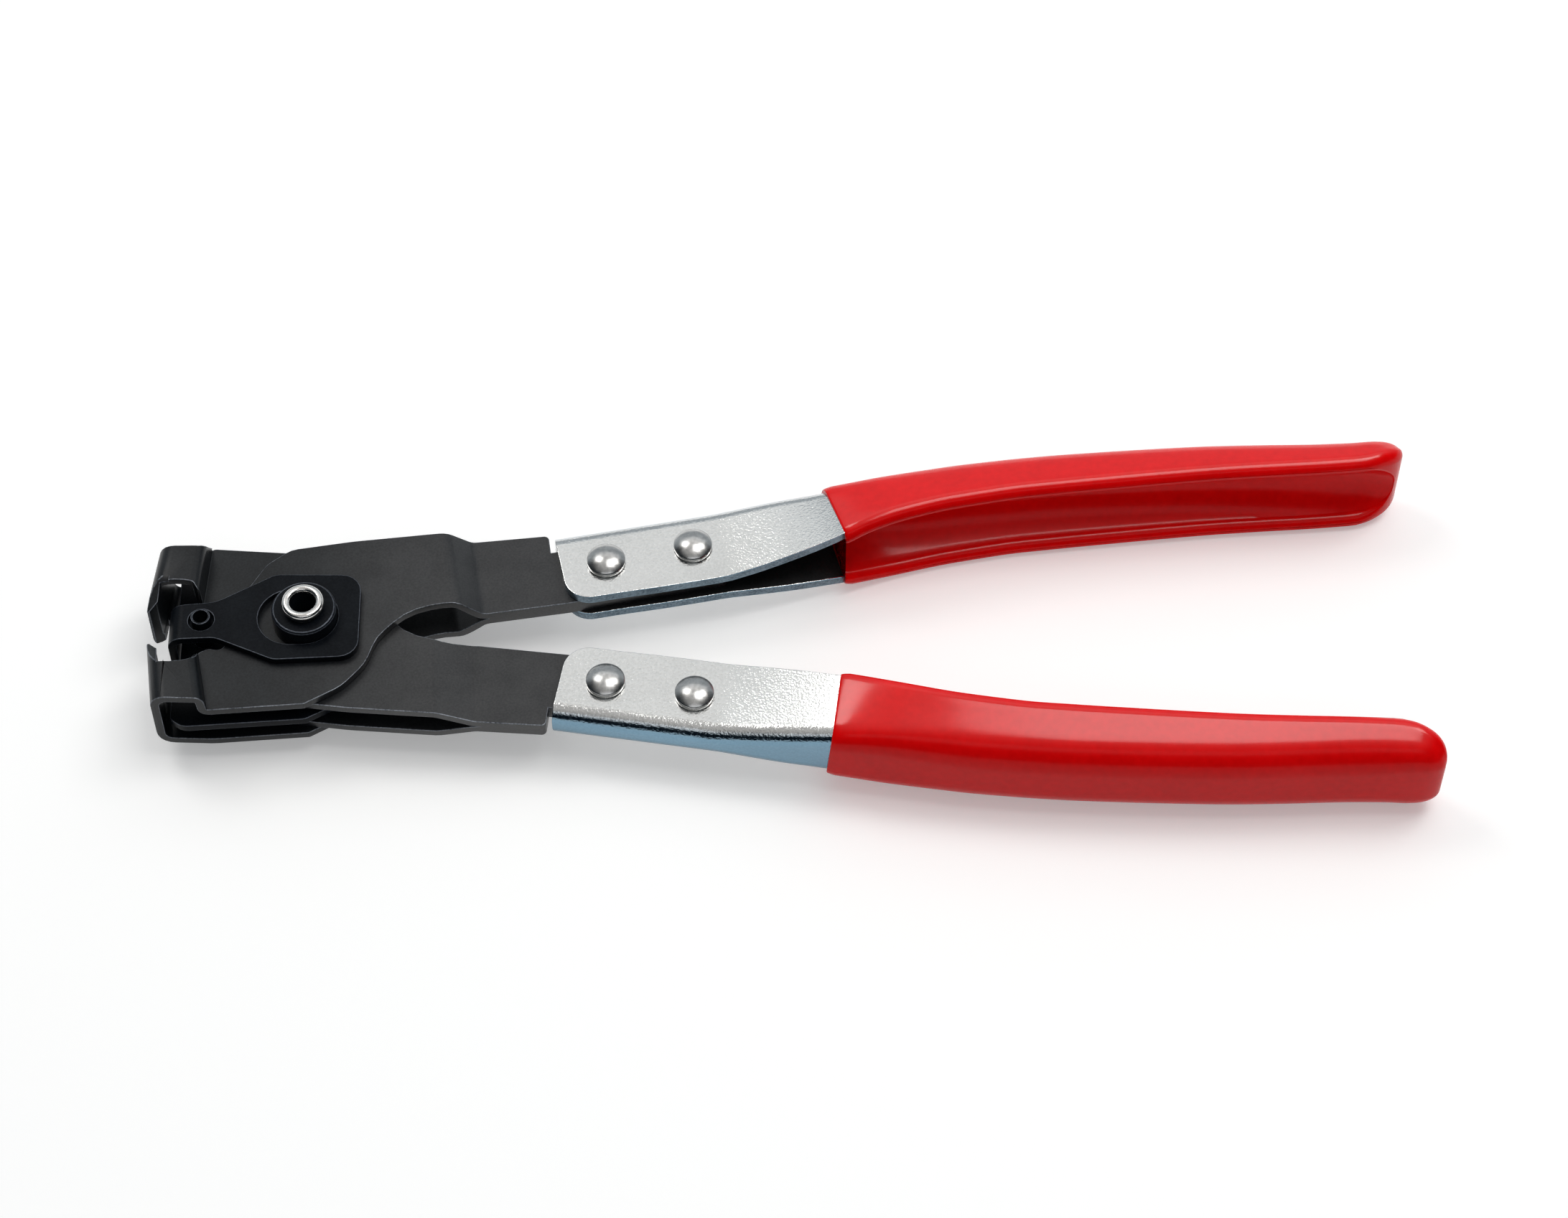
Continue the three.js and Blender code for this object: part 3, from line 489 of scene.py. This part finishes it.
nickel, nickel_shader = grained(
    "bright_nickel", NICKEL_DARK, NICKEL_LIGHT, NICKEL_GRAIN, NICKEL_PATCH, NICKEL_ROUGH,
    NICKEL_BUMP, NICKEL_BUMP_DEPTH)
nickel_shader.inputs["Metallic"].default_value = 1
tube_profile = arc(TUBE_OUTER, ROLL_TOP, TUBE_ROLL, math.pi, -QUARTER_TURN, ROLL_STEPS)
tube_profile += arc(TUBE_OUTER, ROLL_BOTTOM, TUBE_ROLL, QUARTER_TURN, -math.pi, ROLL_STEPS)
tube = lathe("pivot_rivet_turned", tube_profile, Matrix.Translation(PIVOT), True)
tube.data.materials.append(nickel)
tube.data.materials.append(deep_shaded)
# Painted shade: the tube's bore takes the deep black instead of nickel, for the shade inside it.
for face in tube.data.polygons:
    out = face.center - PIVOT
    in_shaded_bore = math.hypot(out.x, out.y) < (TUBE_OUTER - TUBE_ROLL * BORE_SHARE) * MILLIMETRE
    face.material_index = 1 if in_shaded_bore and abs(out.z) < ROLL_TOP * MILLIMETRE else 0
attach(tube, "pivot")
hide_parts("pivot_rivet")

# Handle rivets. Solid rivets of satin steel, two through each channel and the jaw's tang inside it. Each
# is headed on both sides of the handle to a low dome over a short round rim.
HALVES = (("outer", 1), ("inner", -1))
HALF_OPENING = math.radians(7)
HANDLE_LEAN = math.radians(3.9)
HANDLE_X = 0.0562
HANDLE_Y = 0.00675
RIVET_PITCH = 16.45
RIVET_HEAD = 3.58
RIVET_RIM = 1
RIVET_DOME = 1.35
RIVET_SHAFT = 2
RIVET_SEAT = 3.63
RIM_ROUND = 0.35
DOME_STEPS = 10
SATIN_DARK = (0.46, 0.46, 0.455, 1)
SATIN_LIGHT = (0.62, 0.62, 0.61, 1)
SATIN_GRAIN = 1400
SATIN_PATCH = 250
SATIN_ROUGH = (0.2, 0.3)
SATIN_BUMP = 0.2
SATIN_BUMP_DEPTH = 0.00003


def handle_placing(side):
    turn = Matrix.Rotation(HALF_OPENING * side, 4, "Z")
    handle = Matrix.Translation((HANDLE_X, HANDLE_Y * side, 0)) @ Matrix.Rotation(HANDLE_LEAN * side, 4, "Z")
    return Matrix.Translation(PIVOT) @ turn @ handle


def rivet_profile():
    sphere = (RIVET_HEAD ** 2 + RIVET_DOME ** 2) / (RIVET_DOME * 2)
    rim_top = RIVET_SEAT + RIVET_RIM
    centre = rim_top + RIVET_DOME - sphere
    lean = math.asin((RIVET_HEAD - RIM_ROUND) / (sphere - RIM_ROUND))
    shoulder = centre + (sphere - RIM_ROUND) * math.cos(lean)
    top = arc(0, centre, sphere, QUARTER_TURN, QUARTER_TURN - lean, DOME_STEPS)
    brow = arc(RIVET_HEAD - RIM_ROUND, shoulder, RIM_ROUND, QUARTER_TURN - lean, 0, DOME_STEPS // 2)[1:]
    foot = arc(RIVET_HEAD - RIM_ROUND, RIVET_SEAT + RIM_ROUND, RIM_ROUND, 0, -QUARTER_TURN, DOME_STEPS // 2)
    half = top + brow + foot + [(RIVET_SHAFT, RIVET_SEAT)]
    return half + [(radius, -height) for radius, height in reversed(half)]


satin, satin_shader = grained(
    "satin_steel", SATIN_DARK, SATIN_LIGHT, SATIN_GRAIN, SATIN_PATCH, SATIN_ROUGH,
    SATIN_BUMP, SATIN_BUMP_DEPTH)
satin_shader.inputs["Metallic"].default_value = 1
for half, side in HALVES:
    for index, place in enumerate(("front", "rear")):
        along = Matrix.Translation((RIVET_PITCH * index * MILLIMETRE, 0, 0))
        rivet = lathe(f"{half}_rivet_{place}_headed", rivet_profile(), handle_placing(side) @ along, False)
        rivet.data.materials.append(satin)
        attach(rivet, f"{half}_half")
        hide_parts(f"{half}_handle_rivet_{place}")

# Handle channels. Pressed steel channels, bright zinc plated, closed on the tang by two rivets and
# splayed open under the grips. The table gives the section at each place along the handle.
ALONG, WEB, EDGE, WEB_HALF, EDGE_HALF = 0, 1, 2, 3, 4
CHANNEL_TABLE = [
    (-8.4, 8.6, -7.2, 3.62, 3.62),
    (0, 8.5, -7.3, 3.62, 3.62),
    (10, 8.35, -7.65, 3.62, 3.62),
    (20.5, 8.15, -7.8, 3.62, 3.62),
    (26, 7.95, -7.65, 4.1, 4.3),
    (33, 7.6, -7.2, 4.9, 5.6),
    (42, 6.9, -6.2, 5.7, 7.4),
    (48, 6.6, -5.2, 6.3, 8.85),
    (55, 6.5, -4.45, 6.75, 9.65),
    (65, 6.4, -3.95, 6.9, 9.9),
    (75, 5.8, -4.1, 6.9, 9.9),
    (85, 4.9, -4.85, 6.9, 9.9),
    (95, 3.65, -5.8, 6.9, 9.9),
    (105, 2.25, -6.8, 6.9, 9.9),
    (115, 0.7, -7.9, 6.9, 9.9),
    (125, -1.2, -9.25, 6.9, 9.9),
    (135, -3.25, -10.7, 6.9, 9.9),
    (146.8, -5.45, -12.1, 6.9, 9.9),
]
CHANNEL_FRONT = -8.4
CHANNEL_END = 146.8
CHANNEL_WALL = 2
CHANNEL_BEND = (3, 4.4)
CHANNEL_INNER_BEND = 0.6
BEND_FROM = 42
BEND_TO = 64
FRONT_CORNER = 4.7
CHANNEL_STEP = 2
CHANNEL_STOP = 141
CORNER_STEPS = 10
BENT_CORNERS = 2
CUT_CORNERS = 2
CHANNEL_EDGE = 0.00018
ZINC_DARK = (0.655, 0.665, 0.66, 1)
ZINC_LIGHT = (0.765, 0.775, 0.77, 1)
ZINC_GRAIN = 2400
ZINC_PATCH = 60
ZINC_ROUGH = (0.09, 0.15)
ZINC_BUMP = 0.7
ZINC_BUMP_DEPTH = 0.00009
# Painted shade: on the faces turned to the front and back (the webs), the plate is multiplied darker and
# bluer, for the dark floor they reflect.
WEB_PAINTED_SHADE = (0.25, 0.41, 0.54, 1)
WEB_START = 0.45
WEB_FULL = 0.95
# The cut lips are rougher than the plate, and their colour is partly painted shade: darker and bluer, for
# the dark they face.
SHEARED_SHADED_DARK = (0.06, 0.09, 0.12, 1)
SHEARED_SHADED_LIGHT = (0.2, 0.27, 0.32, 1)
SHEARED_PATCH = 200
SHEARED_ROUGH = (0.3, 0.45)
SHEARED_BUMP = 0.5
SHEARED_BUMP_DEPTH = 0.00004
SHEARED_METAL = 0.8
# Painted shade: the inside of each channel is near black instead of zinc, for the shade inside it.
INSIDE_SHADE_DARK = (0.006, 0.007, 0.008, 1)
INSIDE_SHADE_LIGHT = (0.02, 0.022, 0.024, 1)
INSIDE_SHADE_ROUGH = (0.5, 0.7)
INSIDE_SHADE_BUMP = 0.4
INSIDE_SHADE_METAL = 0.3


def steepness(start, end, column):
    return (end[column] - start[column]) / (end[ALONG] - start[ALONG])


def station_slope(index, column):
    row = CHANNEL_TABLE[index]
    if index == 0:
        return steepness(row, CHANNEL_TABLE[1], column)
    before = steepness(CHANNEL_TABLE[index - 1], row, column)
    if index == len(CHANNEL_TABLE) - 1:
        return before
    after = steepness(row, CHANNEL_TABLE[index + 1], column)
    return 2 * before * after / (before + after) if before * after > 0 else 0


def reading(x, column):
    high = 1
    while high < len(CHANNEL_TABLE) - 1 and CHANNEL_TABLE[high][ALONG] < x:
        high += 1
    start = CHANNEL_TABLE[high - 1]
    end = CHANNEL_TABLE[high]
    span = end[ALONG] - start[ALONG]
    at = (x - start[ALONG]) / span
    square = at * at
    cube = square * at
    held = start[column] * (2 * cube - 3 * square + 1) + end[column] * (3 * square - 2 * cube)
    leaving = station_slope(high - 1, column) * (cube - 2 * square + at)
    arriving = station_slope(high, column) * (cube - square)
    return held + (leaving + arriving) * span


def rounded(corners, steps, closed=True):
    points = []
    count = len(corners)
    for index, (y, z, radius) in enumerate(corners):
        here = Vector((y, z))
        at_end = not closed and index in (0, count - 1)
        if radius == 0 or at_end:
            points.append(here)
            continue
        into = (here - Vector(corners[index - 1][:2])).normalized()
        out = (Vector(corners[(index + 1) % count][:2]) - here).normalized()
        turn = math.atan2(into.x * out.y - into.y * out.x, into.dot(out))
        run = radius * math.tan(abs(turn) / 2)
        hand = math.copysign(radius, turn)
        start = here - into * run
        centre = start + Vector((-into.y, into.x)) * hand
        arm = start - centre
        for step in range(steps + 1):
            angle = turn * step / steps
            turned = Vector((arm.x * math.cos(angle) - arm.y * math.sin(angle),
                             arm.x * math.sin(angle) + arm.y * math.cos(angle)))
            points.append(centre + turned)
    return points


def loft(name, rings, side, finishes=()):
    mesh = bmesh.new()
    rows = [[mesh.verts.new((x * MILLIMETRE, y * side * MILLIMETRE, z * MILLIMETRE)) for x, y, z in ring]
            for ring in rings]
    count = len(rings[0])
    finish_at = {step: index for index, steps in finishes for step in steps}
    for before, after in zip(rows, rows[1:]):
        for step in range(count):
            following = (step + 1) % count
            face = mesh.faces.new((before[step], before[following], after[following], after[step]))
            face.material_index = finish_at.get(step, 0)
    mesh.faces.new(rows[0])
    mesh.faces.new(rows[-1])
    return finished(name, mesh, handle_placing(side))


def spread(start, end, step):
    count = max(1, round((end - start) / step))
    return [start + (end - start) * index / count for index in range(count + 1)]


def widened(x, bends):
    share = max(0, min(1, (x - BEND_FROM) / (BEND_TO - BEND_FROM)))
    return bends[0] + (bends[1] - bends[0]) * share


def channel_ring(x):
    inside = FRONT_CORNER - (x - CHANNEL_FRONT)
    cut = FRONT_CORNER - math.sqrt(max(0, FRONT_CORNER ** 2 - inside ** 2)) if inside > 0 else 0
    bend = widened(x, CHANNEL_BEND)
    web = reading(x, WEB)
    edge = reading(x, EDGE) + cut
    web_half = reading(x, WEB_HALF)
    edge_half = reading(x, EDGE_HALF)
    inner_web = web - CHANNEL_WALL
    section = [
        (edge, -edge_half, 0),
        (web, -web_half, bend),
        (web, web_half, bend),
        (edge, edge_half, 0),
        (edge, edge_half - CHANNEL_WALL, 0),
        (inner_web, web_half - CHANNEL_WALL, CHANNEL_INNER_BEND),
        (inner_web, CHANNEL_WALL - web_half, CHANNEL_INNER_BEND),
        (edge, CHANNEL_WALL - edge_half, 0),
    ]
    return [(x, point.x, point.y) for point in rounded(section, CORNER_STEPS)]


zinc, zinc_shader = grained(
    "zinc_plate", ZINC_DARK, ZINC_LIGHT, ZINC_GRAIN, ZINC_PATCH, ZINC_ROUGH, ZINC_BUMP, ZINC_BUMP_DEPTH)
zinc_shader.inputs["Metallic"].default_value = 1
# Painted shade: the webs darker and bluer than the flanges.
shaded(zinc, zinc_shader, WEB_PAINTED_SHADE, "Normal", "Y", WEB_START, WEB_FULL)
# Cut lips: rougher zinc, partly painted shade.
sheared_shaded, sheared_shaded_shader = grained(
    "sheared_zinc_painted_shade", SHEARED_SHADED_DARK, SHEARED_SHADED_LIGHT, ZINC_GRAIN, SHEARED_PATCH, SHEARED_ROUGH,
    SHEARED_BUMP, SHEARED_BUMP_DEPTH)
sheared_shaded_shader.inputs["Metallic"].default_value = SHEARED_METAL
# Painted shade inside the channels.
inside_shade, inside_shade_shader = grained(
    "painted_shade_inside", INSIDE_SHADE_DARK, INSIDE_SHADE_LIGHT, ZINC_GRAIN, SHEARED_PATCH, INSIDE_SHADE_ROUGH,
    INSIDE_SHADE_BUMP, SHEARED_BUMP_DEPTH)
inside_shade_shader.inputs["Metallic"].default_value = INSIDE_SHADE_METAL
channel_materials = [zinc, zinc, sheared_shaded, inside_shade]
line_points = BENT_CORNERS * (CORNER_STEPS + 1) + CUT_CORNERS
ring_points = line_points * 2
channel_finishes = [
    (channel_materials.index(sheared_shaded), [line_points - 1, ring_points - 1]),
    (channel_materials.index(inside_shade), range(line_points, ring_points - 1)),
]
corner_run = [CHANNEL_FRONT + FRONT_CORNER * (1 - math.cos(QUARTER_TURN * step / CORNER_STEPS))
              for step in range(CORNER_STEPS + 1)]
channel_places = corner_run + spread(corner_run[-1], CHANNEL_STOP, CHANNEL_STEP)[1:]
for half, side in HALVES:
    rings = [channel_ring(x) for x in channel_places]
    channel = loft(f"{half}_channel_plated", rings, side, channel_finishes)
    for material in channel_materials:
        channel.data.materials.append(material)
    soften(channel, CHANNEL_EDGE)
    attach(channel, f"{half}_half")
    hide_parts(f"{half}_handle_channel")

# Grips. Each handle end is dipped in red vinyl, which coats the channel inside and out, rounds its two
# lips and closes its end.
VINYL = 1.03
VINYL_EDGE = 0.72
VINYL_EDGE_RUN = 1.6
FRONT_SHARES = (0, 0.08, 0.25, 0.5, 1)
GRIP_FRONT = 42.8
GRIP_SLANT = {1: 0.105, -1: -0.045}
GRIP_LEAN = {1: 0, -1: 0.08}
GRIP_SLANT_RUN = 20
GRIP_END = 152
GRIP_STEP = 1.6
GRIP_END_STEPS = 14
END_ROUND_WEB = (3.6, 1.6)
END_ROUND_EDGE = (10.5, 6.6)
END_ROUND_SIDE = (7, 4.6)
LIP = (CHANNEL_WALL + VINYL * 2) / 2
LIP_ROOM = 0.28
LIP_TURN = 0.95
LIP_DEPTH = 0.4
WEB_BEND = (4.2, 6.4)
WEB_ROOM = 0.68
TROUGH_END = 150.2
TROUGH_END_STEPS = 22
TROUGH_CLOSING = 7
TROUGH_ROUND = 2.8
TROUGH_STEPS = 22
LEAST = 0.0001
FLANGE_STEPS = 4
VINYL_DARK = (0.76, 0.0012, 0.002, 1)
VINYL_LIGHT = (0.86, 0.002, 0.003, 1)
VINYL_SPECULAR = 0.12
VINYL_GRAIN = 700
VINYL_PATCH = 90
VINYL_ROUGH = (0.2, 0.28)
VINYL_BUMP = 0.12
VINYL_BUMP_DEPTH = 0.00006
HELD_START = 0.8
HELD_FULL = 0.99
HELD_LEAST = 0.04
HELD_MOST = 0.85
HELD_ROUGH = 0.16


def divided(points, start, end, steps):
    before = points[:start + 1]
    after = points[end:]
    between = [points[start].lerp(points[end], step / steps) for step in range(1, steps)]
    return before + between + after


def end_inset(x, ellipse):
    length, amount = ellipse
    past = max(0, 1 - (GRIP_END - x) / length)
    return amount * (1 - math.sqrt(max(0, 1 - past ** 2)))


def easing(start, end, steps):
    return [start + (end - start) * math.sin(QUARTER_TURN * (step + 1) / steps) for step in range(steps)]


def closed_off(x, length):
    share = max(0, min(1, (x - TROUGH_END + length) / length))
    return math.sqrt(max(0, 1 - share ** 2))


def trough_half(start, depth, mouth, back):
    points = []
    for step in range(1, TROUGH_STEPS + 1):
        angle = QUARTER_TURN * step / TROUGH_STEPS
        down = math.sin(angle) ** (2 / TROUGH_ROUND)
        across = max(0, math.cos(angle)) ** (2 / TROUGH_ROUND) if step < TROUGH_STEPS else 0
        points.append(Vector((start + depth * down, (mouth + (back - mouth) * down) * across)))
    return points


def grip_ring(x, side):
    run = max(0, min(1, (x - GRIP_FRONT) / VINYL_EDGE_RUN))
    skin = VINYL_EDGE + (VINYL - VINYL_EDGE) * math.sqrt(run)
    at = min(x, CHANNEL_END)
    past = (x - at) * station_slope(len(CHANNEL_TABLE) - 1, WEB)
    web = reading(at, WEB) + skin + past - end_inset(x, END_ROUND_WEB)
    edge = reading(at, EDGE) - skin + past + end_inset(x, END_ROUND_EDGE)
    web_half = reading(at, WEB_HALF) + skin - end_inset(x, END_ROUND_SIDE)
    edge_half = reading(at, EDGE_HALF) + skin - end_inset(x, END_ROUND_SIDE)
    open_share = closed_off(x, TROUGH_CLOSING)
    depth = max(0, reading(at, WEB) - CHANNEL_WALL - VINYL + past - edge) * open_share
    mouth = (reading(at, EDGE_HALF) + VINYL - LIP * 2) * open_share
    back = (reading(at, WEB_HALF) + VINYL - LIP * 2) * open_share
    room = web - edge
    lip_in = max(LEAST, min(LIP * LIP_TURN, depth * LIP_DEPTH, mouth))
    section = [
        (web, 0, 0),
        (web, web_half, min(widened(x, WEB_BEND), room * WEB_ROOM)),
        (edge, edge_half, min(LIP, room * LIP_ROOM)),
        (edge, mouth, lip_in),
        (edge + lip_in + LEAST, mouth, 0),
    ]
    half = rounded(section, CORNER_STEPS, closed=False)
    half = divided(half, CORNER_STEPS + 1, CORNER_STEPS + 2, FLANGE_STEPS)
    half += trough_half(edge + lip_in + LEAST, max(0, depth - lip_in), mouth, back)
    ring = half + [Vector((point.x, -point.y)) for point in reversed(half[1:-1])]
    left = max(0, 1 - (x - GRIP_FRONT) / GRIP_SLANT_RUN)
    slant = GRIP_SLANT[side] * left
    lean = GRIP_LEAN[side] * left
    top = reading(GRIP_FRONT, WEB_HALF)
    return [(x + (reading(GRIP_FRONT, WEB) - point.x) * slant + (point.y - top) * lean, point.x, point.y)
            for point in ring]


vinyl, vinyl_shader = grained(
    "red_vinyl", VINYL_DARK, VINYL_LIGHT, VINYL_GRAIN, VINYL_PATCH, VINYL_ROUGH,
    VINYL_BUMP, VINYL_BUMP_DEPTH)
vinyl_shader.inputs["Specular IOR Level"].default_value = VINYL_SPECULAR
vinyl_shader.inputs["Coat Roughness"].default_value = HELD_ROUGH
coated(vinyl, vinyl_shader, "Normal", "Z", HELD_START, HELD_FULL, HELD_LEAST, HELD_MOST)
front_run = [GRIP_FRONT + VINYL_EDGE_RUN * share for share in FRONT_SHARES]
body_run = spread(front_run[-1], TROUGH_END - TROUGH_CLOSING, GRIP_STEP)[1:]
end_run = easing(body_run[-1], TROUGH_END, TROUGH_END_STEPS) + easing(TROUGH_END, GRIP_END, GRIP_END_STEPS)
for half, side in HALVES:
    grip = loft(f"{half}_grip_vinyl", [grip_ring(x, side) for x in front_run + body_run + end_run], side)
    grip.data.materials.append(vinyl)
    smooth_over(grip)
    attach(grip, f"{half}_half")
    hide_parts(f"{half}_grip")
